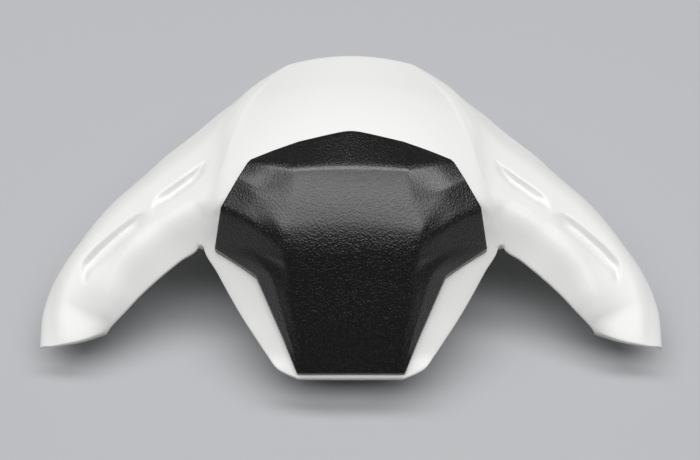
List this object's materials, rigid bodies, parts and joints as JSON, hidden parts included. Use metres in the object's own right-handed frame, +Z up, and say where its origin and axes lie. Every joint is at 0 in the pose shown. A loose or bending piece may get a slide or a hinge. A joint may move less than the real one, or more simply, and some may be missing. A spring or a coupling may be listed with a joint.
{
  "type": "seat cowl",
  "caption": "Motorbike seat cowl with two swept fluted wings and a front tongue, a facetted back pad, and a frame below with latch loop, hook, rubber buffers and wing pins",
  "frame": {"origin": "Under the middle of the cowl, on the surface that the four buffers stand on.", "axes": "X across the bike to the right as seen from the rider's side of the pad, Y from the tongue's lip to the tail, Z up."},
  "size_m": [0.342, 0.192, 0.0987],
  "materials": {
    "gloss_paint": "white gloss paint and clear coat on moulded ABS",
    "grained_vinyl": "black vinyl skin with a fine leather grain over firm foam",
    "black_nylon": "black glass-filled nylon, lightly textured by the mould",
    "zinc_steel": "pressed and bent steel with bright zinc plating",
    "black_steel": "steel screws with black zinc plating",
    "brass": "turned brass",
    "rubber": "moulded black rubber"
  },
  "bodies": {
    "root": {"cowl_shell": "gloss_paint", "back_pad": "grained_vinyl", "pad_screws": "black_steel", "pad_washers": "zinc_steel", "base_frame": "black_nylon", "frame_screws": "black_steel", "boss_inserts": "brass", "latch_loop": "zinc_steel", "front_hook": "zinc_steel", "frame_bolts": "zinc_steel", "frame_nuts": "zinc_steel", "buffer_front_left": "rubber", "buffer_front_right": "rubber", "buffer_rear_left": "rubber", "buffer_rear_right": "rubber", "wing_pin_left": "black_nylon", "wing_pin_right": "black_nylon"}
  },
  "joints": []
}
